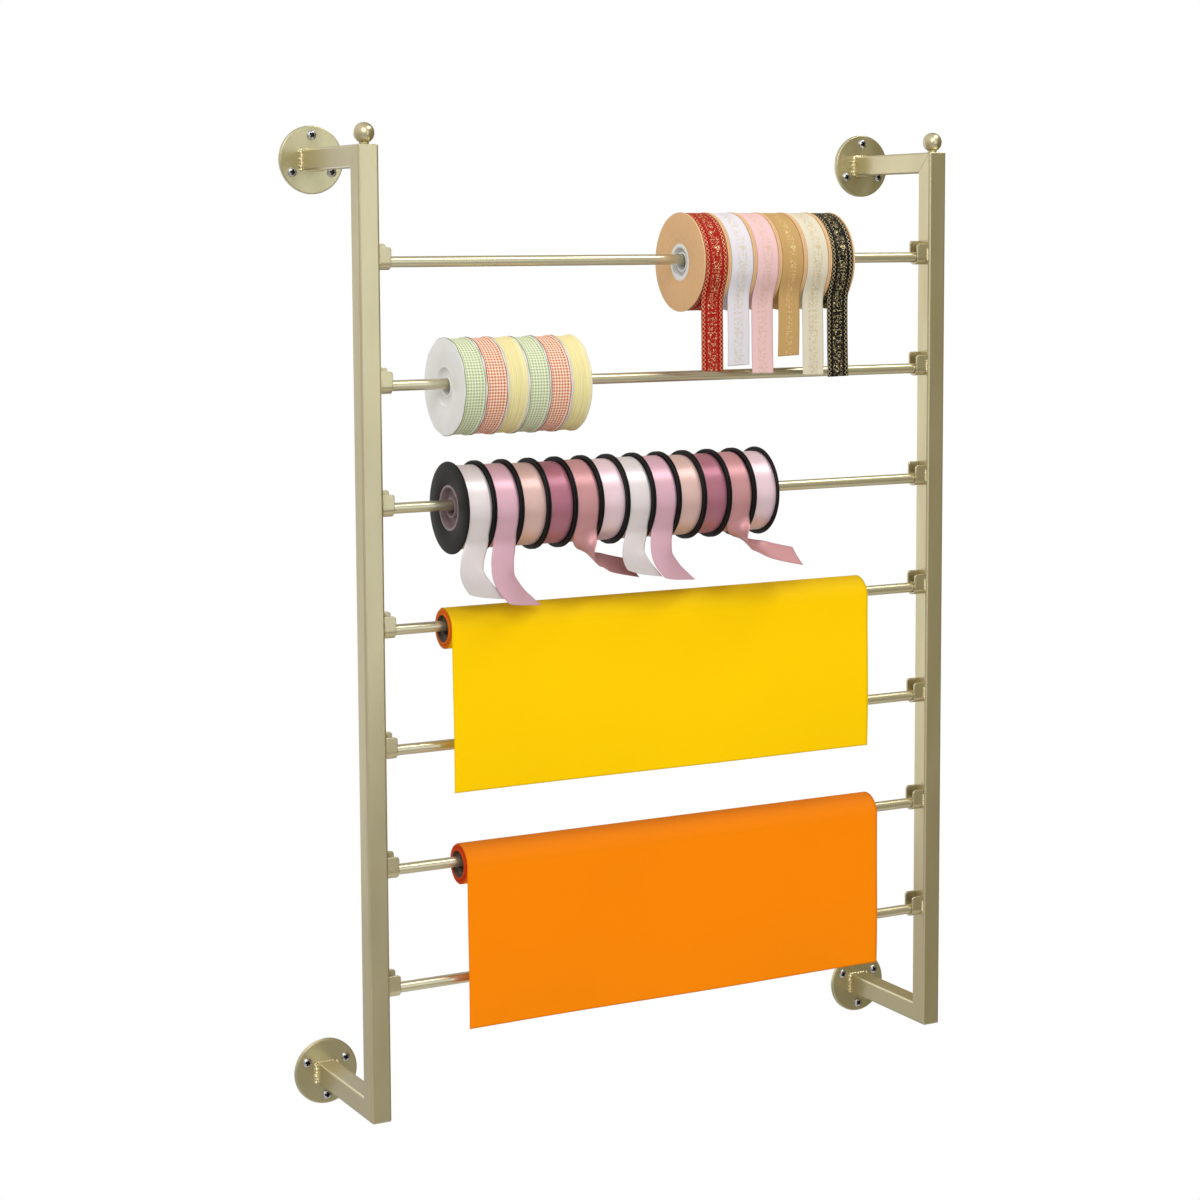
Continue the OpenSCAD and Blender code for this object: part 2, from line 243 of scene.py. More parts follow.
def roundOutline(outline, radius, steps=4):
    # every corner of a closed outline becomes the curve (1 - t)^2 start + 2 t (1 - t) corner
    # + t^2 end, which starts and ends radius away from it, or at 0.45 of a short side
    corner = np.asarray(outline, float)
    ends = []
    for step in (1, -1):
        side = np.roll(corner, step, axis=0) - corner
        length = np.linalg.norm(side, axis=1, keepdims=True)
        ends.append((corner + side / length * np.minimum(radius, length * 0.45))[:, None])
    t = np.linspace(0, 1, steps)[None, :, None]
    curve = (1 - t) ** 2 * ends[0] + 2 * t * (1 - t) * corner[:, None] + t ** 2 * ends[1]
    curve = curve.reshape(-1, 2)
    return np.concatenate([curve, curve[:1]])


def turnAboutRod(outline, axis, sides=120):
    # an outline of (radius, distance along X) turned about a line parallel to X, with angle 0 at
    # the top and growing forwards: y = axisY - radius sin(angle), z = axisZ + radius cos(angle)
    angle = np.linspace(0, 2 * np.pi, sides + 1)[:, None]
    radius, along = outline[None, :, 0], outline[None, :, 1]
    points = np.stack([axis[0] + along + 0 * angle,
                       axis[1] - radius * np.sin(angle),
                       axis[2] + radius * np.cos(angle)], axis=-1)
    travelled = np.concatenate([[0], np.cumsum(np.linalg.norm(np.diff(outline, axis=0), axis=1))])
    return points, angle, travelled[None, :]


# materials


def newMaterial(name, roughness=0.5, metallic=0.0, specular=0.5):
    material = bpy.data.materials.new(name)
    material.use_nodes = True
    shader = material.node_tree.nodes["Principled BSDF"]
    shader.inputs["Roughness"].default_value = roughness
    shader.inputs["Metallic"].default_value = metallic
    shader.inputs["Specular IOR Level"].default_value = specular
    return material, material.node_tree, shader


def dim(colour, share):
    # a colour times share, held at 1
    return tuple(min(1, c * share) for c in colour)


def noise(tree, scale, detail=2.0, stretch=(1, 1, 1), coordinate="Object"):
    place = tree.nodes.new("ShaderNodeTexCoord")
    mapping = tree.nodes.new("ShaderNodeMapping")
    mapping.inputs["Scale"].default_value = stretch
    texture = tree.nodes.new("ShaderNodeTexNoise")
    texture.inputs["Scale"].default_value = scale
    texture.inputs["Detail"].default_value = detail
    tree.links.new(place.outputs[coordinate], mapping.inputs["Vector"])
    tree.links.new(mapping.outputs[0], texture.inputs["Vector"])
    return texture.outputs["Fac"]


def relief(tree, shader, height, distance, rounding=0):
    node = tree.nodes.new("ShaderNodeBump")
    node.inputs["Distance"].default_value = distance
    tree.links.new(height, node.inputs["Height"])
    tree.links.new(node.outputs["Normal"], shader.inputs["Normal"])
    if rounding:        # edges catch the light as if they were rounded by this radius
        edge = tree.nodes.new("ShaderNodeBevel")
        edge.samples = 6
        edge.inputs["Radius"].default_value = rounding
        tree.links.new(edge.outputs["Normal"], node.inputs["Normal"])


def alongAcross(tree):
    # the piece's own lay: u runs along the ribbon and v across it from its middle, both in metres
    place = tree.nodes.new("ShaderNodeUVMap")
    place.uv_map = "lay"
    split = tree.nodes.new("ShaderNodeSeparateXYZ")
    tree.links.new(place.outputs[0], split.inputs[0])
    return split.outputs[0], split.outputs[1]


def stripe(tree, value, period, share=0.5, soft=0.15):
    # 1 over share of each period and 0 over the rest, with a soft edge
    phase = calc(tree, "FRACT", calc(tree, "DIVIDE", value, period))
    away = calc(tree, "ABSOLUTE", calc(tree, "SUBTRACT", phase, 0.5))
    return rescale(tree, away, 1.0, 0.0, share / 2 - soft / 2, share / 2 + soft / 2)


def champagnePaint(name, colour, metallic=0.88, roughness=(0.24, 0.4), uneven=1.6 * mm):
    # metallic paint: fine flakes, a slow cloudiness, the orange peel of a sprayed coat, and faces
    # that aren't quite flat
    material, tree, shader = newMaterial(name, metallic=metallic)
    flake = noise(tree, 2600, 1.0)
    cloud = noise(tree, 14, 3.0)
    tone = calc(tree, "ADD", rescale(tree, flake, -0.12, 0.12), rescale(tree, cloud, 0.92, 1.08))
    bright = tree.nodes.new("ShaderNodeHueSaturation")
    bright.inputs["Color"].default_value = (*colour, 1)
    tree.links.new(tone, bright.inputs["Value"])
    tree.links.new(bright.outputs[0], shader.inputs["Base Color"])
    tree.links.new(rescale(tree, noise(tree, 900, 2.0), *roughness), shader.inputs["Roughness"])
    shader.inputs["Coat Weight"].default_value = 0.6
    shader.inputs["Coat Roughness"].default_value = 0.15
    height = calc(tree, "MULTIPLY", noise(tree, 24, 1.0, stretch=(1, 1, 0.3)), uneven)
    for pattern, depth in ((flake, 0.03 * mm), (noise(tree, 500), 0.024 * mm)):
        height = calc(tree, "MULTIPLY_ADD", pattern, depth, height)
    relief(tree, shader, height, 1.0, rounding=1.2 * mm)
    return material


# the flanges take a darker copy of the frame's paint as painted shade; the rods take a lighter copy
# as painted light, and the weld beads a much lighter one as painted highlight
framePaint = champagnePaint("champagnePaint", (0.57, 0.51, 0.32))
shadedFlangePaint = champagnePaint("shadedFlangePaint", (0.50, 0.455, 0.27), uneven=2.6 * mm)
litRodPaint = champagnePaint("litRodPaint", (0.61, 0.56, 0.39), uneven=0)
beadPaint = champagnePaint("beadPaint", (0.84, 0.76, 0.52), roughness=(0.16, 0.3), uneven=0)


def zincSteel():
    material, tree, shader = newMaterial("zincSteel", roughness=0.28, metallic=1.0)
    # u of the lay is 1 down in the cross recess, which is painted near black as painted shade, and
    # 0 on the head
    pressed, _ = alongAcross(tree)
    tone = blendColour(tree, pressed, (0.50, 0.51, 0.54), (0.02, 0.02, 0.025))
    tree.links.new(tone, shader.inputs["Base Color"])
    relief(tree, shader, noise(tree, 1500, 2.0), 0.02 * mm)
    return material


def kraftCard():
    material, tree, shader = newMaterial("kraftCard", roughness=0.85, specular=0.25)
    fibre = noise(tree, 700, 6.0, stretch=(1, 1, 0.25))
    speck = noise(tree, 1800, 2.0)
    colour = blendColour(tree, fibre, (0.63, 0.37, 0.18), (0.84, 0.56, 0.32))
    dark = rescale(tree, speck, 0.0, 0.35, 0.62, 0.74)
    tree.links.new(blendColour(tree, dark, colour, (0.36, 0.20, 0.09)), shader.inputs["Base Color"])
    relief(tree, shader, fibre, 0.08 * mm)
    return material


def mouldedPlastic(name, colour, roughness=0.4, grain=0.02, specular=0.4):
    material, tree, shader = newMaterial(name, roughness=roughness, specular=specular)
    tone = blendColour(tree, noise(tree, 60, 2.0), colour, dim(colour, 0.86))
    tree.links.new(tone, shader.inputs["Base Color"])
    relief(tree, shader, noise(tree, 1200, 3.0), grain * mm)
    return material


screwSteel = zincSteel()
kraft = kraftCard()
hubWhite = mouldedPlastic("hubWhite", (0.80, 0.80, 0.82))
reelWhite = mouldedPlastic("reelWhite", (0.93, 0.94, 0.96), roughness=0.35)
reelBlack = mouldedPlastic("reelBlack", (0.006, 0.006, 0.007), roughness=0.5, grain=0.05,
                           specular=0.16)
hubGrey = mouldedPlastic("hubGrey", (0.26, 0.19, 0.21))


def weave(tree, along, across, pitch):
    # height of a plain weave: two crossed rows of threads that take turns on top
    waveU = calc(tree, "SINE", calc(tree, "MULTIPLY", along, 2 * math.pi / pitch))
    waveV = calc(tree, "SINE", calc(tree, "MULTIPLY", across, 2 * math.pi / pitch))
    return calc(tree, "MULTIPLY", waveU, waveV)


def edgeTone(tree, across, ribbonWidth, band, strength, tone, edgeColour):
    # a share of edgeColour within band of either edge of the ribbon
    away = calc(tree, "SUBTRACT", ribbonWidth / 2, calc(tree, "ABSOLUTE", across))
    edge = rescale(tree, away, 1.0, 0.0, band * 0.8, band * 1.2)
    return blendColour(tree, calc(tree, "MULTIPLY", edge, strength), tone, edgeColour)


def ribbonColour(tree, shader, across, ribbonWidth, tone, sideColour):
    # past the ribbon's edge the lay runs down the side of the pack, which is drawn darker, with a
    # darker line of painted shade in the gap between each turn and the next
    past = calc(tree, "GREATER_THAN", calc(tree, "ABSOLUTE", across), ribbonWidth / 2 + 0.02 * mm)
    line = stripe(tree, across, 0.45 * mm, 0.4, 0.4)
    lines = blendColour(tree, line, dim(sideColour, 0.75), dim(sideColour, 0.4))
    tree.links.new(blendColour(tree, past, tone, lines), shader.inputs["Base Color"])
    return past


def satinRibbon(name, colour, ribbonWidth):
    # the long floats of a satin face shine like brushed metal, so part of the colour is metallic
    material, tree, shader = newMaterial(name, roughness=0.38, metallic=0.3, specular=0.4)
    _, across = alongAcross(tree)
    thread = calc(tree, "SINE", calc(tree, "MULTIPLY", across, 2 * math.pi / (0.35 * mm)))
    slub = noise(tree, 1, 3.0, stretch=(60, 2500, 1), coordinate="UV")
    tone = blendColour(tree, slub, dim(colour, 0.9), dim(colour, 1.08))
    tone = edgeTone(tree, across, ribbonWidth, 0.7 * mm, 0.35, tone, dim(colour, 0.72))
    ribbonColour(tree, shader, across, ribbonWidth, tone, colour)
    shader.inputs["Anisotropic"].default_value = 0.5
    shader.inputs["Sheen Weight"].default_value = 0.2
    shader.inputs["Sheen Roughness"].default_value = 0.4
    shader.inputs["Sheen Tint"].default_value = (*dim(colour, 1.3), 1)
    relief(tree, shader, calc(tree, "ADD", thread, calc(tree, "MULTIPLY", slub, 2.0)), 0.012 * mm)
    return material


def crinkled(tree, across, amount):
    # across the ribbon, pushed a little to and fro along its length
    push = rescale(tree, noise(tree, 1, 2.0, stretch=(70, 40, 1), coordinate="UV"), -amount, amount)
    return calc(tree, "ADD", across, push)


def ginghamRibbon(name, pale, single, double, ribbonWidth, check):
    # two sets of crossed stripes: one stripe gives the single tone, and a crossing the double one
    material, tree, shader = newMaterial(name, roughness=0.8, specular=0.15)
    along, across = alongAcross(tree)
    moved = crinkled(tree, across, 0.5 * mm)
    stripes = [stripe(tree, along, check, 0.52, 0.12), stripe(tree, moved, check, 0.52, 0.12)]
    tone = blendColour(tree, calc(tree, "MAXIMUM", *stripes), pale, single)
    tone = blendColour(tree, calc(tree, "MULTIPLY", *stripes), tone, double)
    tone = edgeTone(tree, across, ribbonWidth, 1.0 * mm, 0.9, tone, dim(double, 0.7))
    ribbonColour(tree, shader, across, ribbonWidth, tone, single)
    relief(tree, shader, weave(tree, along, across, 0.5 * mm), 0.03 * mm)
    return material


def plainRibbon(name, colour, ribbonWidth):
    # sheer cloth: fine creases along it, darkened by painted shade, paler towards the edges, and a
    # thread of gold at each edge
    material, tree, shader = newMaterial(name, roughness=0.7, specular=0.2)
    along, across = alongAcross(tree)
    crease = noise(tree, 1, 3.0, stretch=(14, 900, 1), coordinate="UV")
    # painted shade: the colour darkens along the creases
    creaseShade = rescale(tree, crease, 0.0, 1.0, 0.35, 0.65)
    tone = blendColour(tree, creaseShade, dim(colour, 0.80), colour)
    fromMiddle = calc(tree, "ABSOLUTE", across)
    sheer = rescale(tree, fromMiddle, 0.0, 0.55, ribbonWidth * 0.3, ribbonWidth * 0.5)
    tone = blendColour(tree, sheer, tone, (0.90, 0.86, 0.72))
    tone = edgeTone(tree, across, ribbonWidth, 0.7 * mm, 0.6, tone, (0.50, 0.40, 0.16))
    ribbonColour(tree, shader, across, ribbonWidth, tone, colour)
    relief(tree, shader, calc(tree, "ADD", weave(tree, along, across, 0.5 * mm), crease), 0.08 * mm)
    return material


def near(tree, distance, half, soft=0.5):
    # 1 where the size of distance is under half, falling to 0 over a soft share of it
    size = calc(tree, "ABSOLUTE", distance)
    return rescale(tree, size, 1.0, 0.0, half * (1 - soft), half * (1 + soft))


scrolls = {
    "curl": 320, "stem": 0.021, "blot": 0.7, "reach": 5.2 * mm,
    "breaks": (330, 280, 3), "broken": 0.40, "whole": 0.46,
}
lining = {          # gold threads woven into the boldest ribbons
    "pinPitch": 1.7 * mm, "pinReach": 6.2 * mm, "pinStrength": 0.03,
    "scallopPitch": 4.2 * mm, "scallopDepth": 0.85 * mm, "scallopThread": 0.22 * mm,
    "scallops": ((3.6 * mm, 1.0), (1.5 * mm, -0.7)),    # in from the edge, and share of the depth
}


def foilPrint(tree, across, s):
    # scrolls: the curved lines where a smooth noise passes 0.5, broken up by a second noise and
    # kept to a band along the middle, with small blots where the first noise peaks
    field = noise(tree, 1, 0.6, stretch=(s["curl"], s["curl"] * 1.15, 1), coordinate="UV")
    line = near(tree, calc(tree, "SUBTRACT", field, 0.5), s["stem"], 0.4)
    gaps = noise(tree, 1, 0.0, stretch=s["breaks"], coordinate="UV")
    gaps = rescale(tree, gaps, 0.0, 1.0, s["broken"], s["whole"])
    blots = rescale(tree, field, 0.0, 1.0, s["blot"], s["blot"] + 0.03)
    mark = calc(tree, "MAXIMUM", calc(tree, "MULTIPLY", line, gaps), blots)
    return calc(tree, "MULTIPLY", mark, near(tree, across, s["reach"], 0.08))


def goldLines(tree, along, across, ribbonWidth, mark, s):
    # adds fine lines along the middle, and two scalloped threads inside each edge
    lines = stripe(tree, across, s["pinPitch"], 0.3, 0.2)
    lines = calc(tree, "MULTIPLY", lines, near(tree, across, s["pinReach"], 0.05))
    mark = calc(tree, "MAXIMUM", mark, calc(tree, "MULTIPLY", lines, s["pinStrength"]))
    fromMiddle = calc(tree, "ABSOLUTE", across)
    wave = calc(tree, "SINE", calc(tree, "MULTIPLY", along, 2 * math.pi / s["scallopPitch"]))
    for inset, share in s["scallops"]:
        line = calc(tree, "MULTIPLY_ADD", wave, s["scallopDepth"] * share, ribbonWidth / 2 - inset)
        thread = near(tree, calc(tree, "SUBTRACT", fromMiddle, line), s["scallopThread"])
        mark = calc(tree, "MAXIMUM", mark, calc(tree, "MULTIPLY", thread, abs(share)))
    return mark


def printedRibbon(name, colour, foil, marks, strength, lined, ribbonWidth):
    material, tree, shader = newMaterial(name, roughness=0.6, specular=0.12)
    along, across = alongAcross(tree)
    mark = foilPrint(tree, across, marks)
    if lined:
        mark = goldLines(tree, along, across, ribbonWidth, mark, lining)
    glint = noise(tree, 1, 2.0, stretch=(400, 400, 1), coordinate="UV")
    mark = calc(tree, "MULTIPLY", mark, rescale(tree, glint, 0.5, 1.0, 0.38, 0.5))
    mark = calc(tree, "MULTIPLY", mark, strength)
    thread = weave(tree, along, across, 0.45 * mm)
    cloth = blendColour(tree, rescale(tree, thread, 0, 1, -1, 1), dim(colour, 0.86), colour)
    cloth = edgeTone(tree, across, ribbonWidth, 0.8 * mm, 0.5, cloth, dim(colour, 0.6))
    tone = blendColour(tree, mark, cloth, foil)
    past = ribbonColour(tree, shader, across, ribbonWidth, tone, colour)
    onTop = calc(tree, "MULTIPLY", mark, calc(tree, "SUBTRACT", 1.0, past))
    tree.links.new(calc(tree, "MULTIPLY", onTop, 0.5), shader.inputs["Metallic"])
    tree.links.new(rescale(tree, onTop, 0.6, 0.35), shader.inputs["Roughness"])
    relief(tree, shader, calc(tree, "ADD", thread, calc(tree, "MULTIPLY", onTop, 2.0)), 0.03 * mm)
    return material


print("materials ready")

# the metal rack keeps its CAD nodes

for nodeName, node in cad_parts.items():
    paint = shadedFlangePaint if "_flange" in nodeName else framePaint
    if nodeName.startswith("rod_"):
        paint = litRodPaint
    if nodeName.startswith(("rod_", "left_", "right_")):
        for slot in node.material_slots:
            slot.material = paint
print("rack painted")


def nodeSpan(nodeName):
    low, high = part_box(nodeName)
    return np.array(low), np.array(high)


def nodeCentre(nodeName):
    low, high = nodeSpan(nodeName)
    return (low + high) / 2


# wall screws

screw = {
    "headWidth": 9 * mm, "headHeight": 2.6 * mm, "dome": 0.62, "domePower": 3.2, "rim": 0.2,
    "slotLength": 5.8 * mm, "slotWidth": 1.7 * mm, "slotDepth": 1.5 * mm,
    "slotWall": 0.25 * mm, "slotRunOut": 0.8 * mm,
    "shankWidth": 4 * mm, "circle": 46 * mm, "flangeFront": 4 * mm,
    "rings": 22, "sides": 72,
}


def makeScrew(name, centre, turn, s):
    # pan head: height / headHeight = 1 - dome (r / R)^domePower, then the rim, the underside and a
    # shank that ends at the wall. The cross is pressed in where a point is near either arm's middle
    # line, and runs out towards the arm's end
    shank, back = s["shankWidth"] / s["headWidth"], -s["flangeFront"] / s["headHeight"]
    out = np.linspace(0, 1, s["rings"])
    share = np.concatenate([out, [1.0, 1.0, shank, shank, 0.0]])[None, :]
    domed = 1 - s["dome"] * out ** s["domePower"]
    height = np.concatenate([domed, [s["rim"], 0.0, 0.0, back, back]])[None, :] * s["headHeight"]
    angle = np.linspace(0, 2 * np.pi, s["sides"] + 1)[:, None]
    radius = share * s["headWidth"] / 2
    x, z = radius * np.cos(angle), radius * np.sin(angle)
    a = np.abs(x * np.cos(turn) + z * np.sin(turn))
    b = np.abs(z * np.cos(turn) - x * np.sin(turn))
    arms = [ease((s["slotWidth"] / 2 - beside) / s["slotWall"] + 1)
            * ease((s["slotLength"] / 2 - along) / s["slotRunOut"])
            for beside, along in ((a, b), (b, a))]
    onTop = np.arange(share.shape[1])[None, :] < s["rings"]
    pressed = np.maximum(*arms) * onTop
    height = height - pressed * s["slotDepth"]
    points = np.stack([centre[0] + x, centre[1] - height, centre[2] + z], axis=-1)
    piece = makePiece(name, [surface(points, pressed, share)], [screwSteel], smooth=35)
    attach(piece, "frame")


random = np.random.default_rng(7)
for flangeName, firstWay in (("left_top_flange", 1), ("right_top_flange", 1),       # 1 is up
                             ("left_bottom_flange", -1), ("right_bottom_flange", -1)):
    middle = nodeCentre(flangeName)
    for k in range(3):
        angle = math.radians(firstWay * (90 + 120 * k))
        centre = (middle[0] + screw["circle"] / 2 * math.cos(angle), -screw["flangeFront"],
                  middle[2] + screw["circle"] / 2 * math.sin(angle))
        makeScrew(f"{flangeName}_screw{k + 1}", centre, random.uniform(0, math.pi / 2), screw)
print("screws in")

# spools

cardSpool = {
    "discRadius": 47.5 * mm, "discThickness": 1.5 * mm, "packRadius": 46.5 * mm,
    "hubRadius": 18 * mm, "hubWall": 4 * mm, "ribbonWidth": 25 * mm,
    "webHalf": 7 * mm, "sleeveOuter": 9.5 * mm, "boreRadius": 8 * mm, "sleeveRecess": 2 * mm,
    "discEdge": 0.3 * mm, "hubEdge": 0.5 * mm, "ribbonCrown": 0.35 * mm,
}
whiteSpool = dict(cardSpool, discRadius=45 * mm, discThickness=1.2 * mm, packRadius=44.2 * mm,
                  hubRadius=20 * mm, hubWall=2 * mm, ribbonWidth=19 * mm, discEdge=0.4 * mm,
                  frill=0.8 * mm, frillTop=0.35 * mm, frillUnder=0.12 * mm)
blackSpool = dict(cardSpool, discRadius=43 * mm, discThickness=1.2 * mm, packRadius=38.7 * mm,
                  hubRadius=21.5 * mm, hubWall=2.5 * mm, discEdge=0.55 * mm, bead=1.8 * mm)


def discOutline(s, side):
    # one disc, from the hub out: (radius, distance from the spool's middle), side is -1 or 1
    inner, outer = s["ribbonWidth"] / 2, s["ribbonWidth"] / 2 + s["discThickness"]
    start, edge = s["hubRadius"] - 0.2 * mm, s["discRadius"]
    outline = [(start, inner), (edge, inner), (edge, outer), (start, outer)]
    if "bead" in s:
        lip = outer - s["bead"]
        outline[1:2] = [(edge - s["bead"] * 1.5, inner), (edge - s["bead"], lip), (edge, lip)]
    return np.array(outline) * (1, side)


def hubOutline(s):
    # hub, web and sleeve in one closed outline
    end = s["ribbonWidth"] / 2 + s["discThickness"]
    sleeve = end - s["sleeveRecess"]
    outer, inner = s["hubRadius"] - 0.05 * mm, s["hubRadius"] - s["hubWall"]
    half = [(outer, end), (inner, end), (inner, s["webHalf"]), (s["sleeveOuter"], s["webHalf"]),
            (s["sleeveOuter"], sleeve), (s["boreRadius"], sleeve)]
    return np.array(half + [(r, -x) for r, x in half[::-1]])


def packOutline(s):
    # wound ribbon: the outside is crowned as top - crown |across / half|^6, and the sides run down
    # to the hub. With a frill, the outer turn rises from 0.8 of the way out instead, and spreads
    # over the disc's edge. The second list is the lay: across the ribbon from its middle, and past
    # its edges on down the pack's side
    play = 0.15 * mm        # between the pack and the reel
    half, hub, top = s["ribbonWidth"] / 2 - play, s["hubRadius"] + play, s["packRadius"]
    wide = half + s.get("frill", 0)
    across = wide * np.sin(np.linspace(-1, 1, 41) * np.pi / 2)
    if "frill" in s:
        rise = s["discRadius"] + s["frillTop"] - top
        radius = top + rise * ease((np.abs(across) - half * 0.8) / (half * 0.15))
        under = s["discRadius"] + s["frillUnder"]
        rim = [[under, wide], [under, half]]
    else:
        radius = top - s["ribbonCrown"] * np.abs(across / half) ** 6
        rim = np.zeros((0, 2))
    down = np.linspace(min(radius[0], top), hub, 5)[1:]
    side = np.concatenate([rim, np.stack([down, np.full(4, half)], 1)])
    outline = np.concatenate([np.stack([radius, across], 1), side, side[::-1] * (1, -1),
                              [[radius[0], -wide]]])
    depth = wide + top - side[:, 0] + 0.5 * mm
    return outline, np.concatenate([across, depth, -depth[::-1], [-wide]])


def makeReel(name, s, discMaterial, hubMaterial):
    middle = nodeCentre(name)
    parts = []
    for side in (-1, 1):
        outline = roundOutline(discOutline(s, side), s["discEdge"], steps=3)
        points, angle, across = turnAboutRod(outline, middle)
        parts.append(surface(points, angle * s["discRadius"], across, slot=0))
    outline = roundOutline(hubOutline(s), s["hubEdge"], steps=3)
    points, angle, across = turnAboutRod(outline, middle, sides=96)
    parts.append(surface(points, angle * s["hubRadius"], across, slot=1))
    piece = makePiece(f"{name}_reel", parts, [discMaterial, hubMaterial])
    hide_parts(name)
    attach(piece, name)


def makeWoundRibbon(name, s, ribbon, seed):
    # the pack's radius wanders by 0.04 mm sin(3 angle) + 0.03 mm sin(7 angle), and its turns lie a
    # little askew
    outline, lay = packOutline(s)
    points, angle, _ = turnAboutRod(outline, nodeCentre(name), sides=144)
    phase, askew = np.random.default_rng(seed).uniform(0, 2 * np.pi, 2)
    radius, along = outline[None, :, 0], outline[None, :, 1]
    out = np.clip((radius - s["hubRadius"]) / (s["packRadius"] - s["hubRadius"]), 0, 1)
    ripple = out * mm * (0.04 * np.sin(3 * angle + phase) + 0.03 * np.sin(7 * angle + askew))
    points[..., 0] += 0.05 * mm * out * np.sin(angle + askew)
    if "frill" in s:        # its edges wave in and out, and up and down, eleven times round
        edge = np.clip((np.abs(along) - s["ribbonWidth"] / 2) / mm + 0.6, 0, 1)
        points[..., 0] += 0.25 * mm * edge * np.sign(along) * np.sin(11 * angle + askew)
        ripple = ripple + 0.18 * mm * edge * np.sin(11 * angle + phase)
    points[..., 1] -= ripple * np.sin(angle)
    points[..., 2] += ripple * np.cos(angle)
    pack = surface(points, angle * s["packRadius"], lay[None, :])
    piece = makePiece(f"{name}_ribbon", [pack], [ribbon])
    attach(piece, name)


gold, paleGold, deepGold = (1.0, 0.84, 0.46), (0.58, 0.48, 0.24), (0.50, 0.37, 0.13)
palePrint, smallPrint = dict(scrolls, stem=0.06, blot=0.68), dict(scrolls, reach=3.6 * mm)
printedCloths = {   # name, cloth, foil, marks, how strong they are, and whether it has gold lines
    "card_red": ("cardRed", (0.37, 0.004, 0.004), gold, scrolls, 1.0, True),
    "card_white": ("cardWhite", (0.76, 0.73, 0.80), paleGold, palePrint, 0.55, False),
    "card_pink": ("cardPink", (0.84, 0.56, 0.57), deepGold, palePrint, 0.4, False),
    "card_tan": ("cardTan", (0.56, 0.35, 0.14), gold, smallPrint, 0.75, False),
    "card_cream": ("cardCream", (0.74, 0.68, 0.54), deepGold, palePrint, 0.55, False),
    "card_black": ("cardBlack", (0.004, 0.003, 0.004), gold, scrolls, 1.0, True),
}
cardRibbons = {slotName: printedRibbon(*cloth, cardSpool["ribbonWidth"])
               for slotName, cloth in printedCloths.items()}
frilled, check = whiteSpool["ribbonWidth"] + 2 * whiteSpool["frill"], 2.9 * mm
greens = (0.79, 0.82, 0.66), (0.63, 0.69, 0.47), (0.33, 0.41, 0.22)
oranges = (0.93, 0.79, 0.69), (0.86, 0.48, 0.33), (0.45, 0.11, 0.05)
whiteRibbons = {
    "gingham_green": ginghamRibbon("ginghamGreen", *greens, frilled, check),
    "gingham_orange": ginghamRibbon("ginghamOrange", *oranges, frilled, check),
    "gingham_yellow": plainRibbon("plainYellow", (1.0, 0.89, 0.45), frilled),
}
satinColours = {
    "satin_pearl": (0.77, 0.71, 0.73), "satin_pink": (0.71, 0.43, 0.53),
    "satin_peach": (0.71, 0.48, 0.45), "satin_mauve": (0.42, 0.16, 0.22),
    "satin_rose": (0.57, 0.28, 0.30), "satin_pale": (0.83, 0.63, 0.70),
}
satinRibbons = {slotName: satinRibbon(slotName, colour, blackSpool["ribbonWidth"])
                for slotName, colour in satinColours.items()}

seed = 0
for rowName, s, ribbons, discMaterial, hubMaterial, count in (
        ("card_spool", cardSpool, cardRibbons, kraft, hubWhite, 6),
        ("white_spool", whiteSpool, whiteRibbons, reelWhite, reelWhite, 6),
        ("black_spool", blackSpool, satinRibbons, reelBlack, hubGrey, 12)):
    slotNames = list(ribbons)
    for i in range(count):
        slotName = slotNames[i % len(slotNames)]
        seed += 1
        makeReel(f"{rowName}_{i + 1}", s, discMaterial, hubMaterial)
        makeWoundRibbon(f"{rowName}_{i + 1}", s, ribbons[slotName], seed)
    print(rowName, "done")

# ribbon ends


def stripAlong(path, widthWay, width, slant, rows, columns, crown):
    # path and widthWay are functions of the length s run along the strip. Column t of it, from -1/2
    # to 1/2, ends slant t further on than the middle one, which makes the cut end oblique:
    # point = path(s) + t width widthWay(s) + crown (1 - 4 t^2) normal(s), and the crown eases in
    # over the middle third
    t = np.linspace(-0.5, 0.5, columns)[None, :]
    along = np.linspace(0, 1, rows)[:, None]
    run = along * (path["length"] + slant * t)
    place = np.stack([np.interp(run, path["run"], path["points"][:, k]) for k in range(3)], -1)
    way = np.stack([np.interp(run, path["run"], widthWay[:, k]) for k in range(3)], -1)
    way /= np.linalg.norm(way, axis=-1, keepdims=True)
    ahead = np.gradient(place, axis=0)
    normal = np.cross(ahead, way)
    normal /= np.maximum(np.linalg.norm(normal, axis=-1, keepdims=True), 1e-12)
    bow = crown * ease(along * 3 - 1) * (1 - 4 * t ** 2)
    points = place + (t * width)[..., None] * way + bow[..., None] * normal
    return surface(points, run, t * width + 0 * run)


def keyed(run, keys):
    # keys are (length run, value); smoothstep between one and the next
    value = np.full_like(run, keys[0][1], dtype=float)
    for (s0, v0), (s1, v1) in zip(keys[:-1], keys[1:]):
        value += (v1 - v0) * ease((run - s0) / (s1 - s0))
    return value


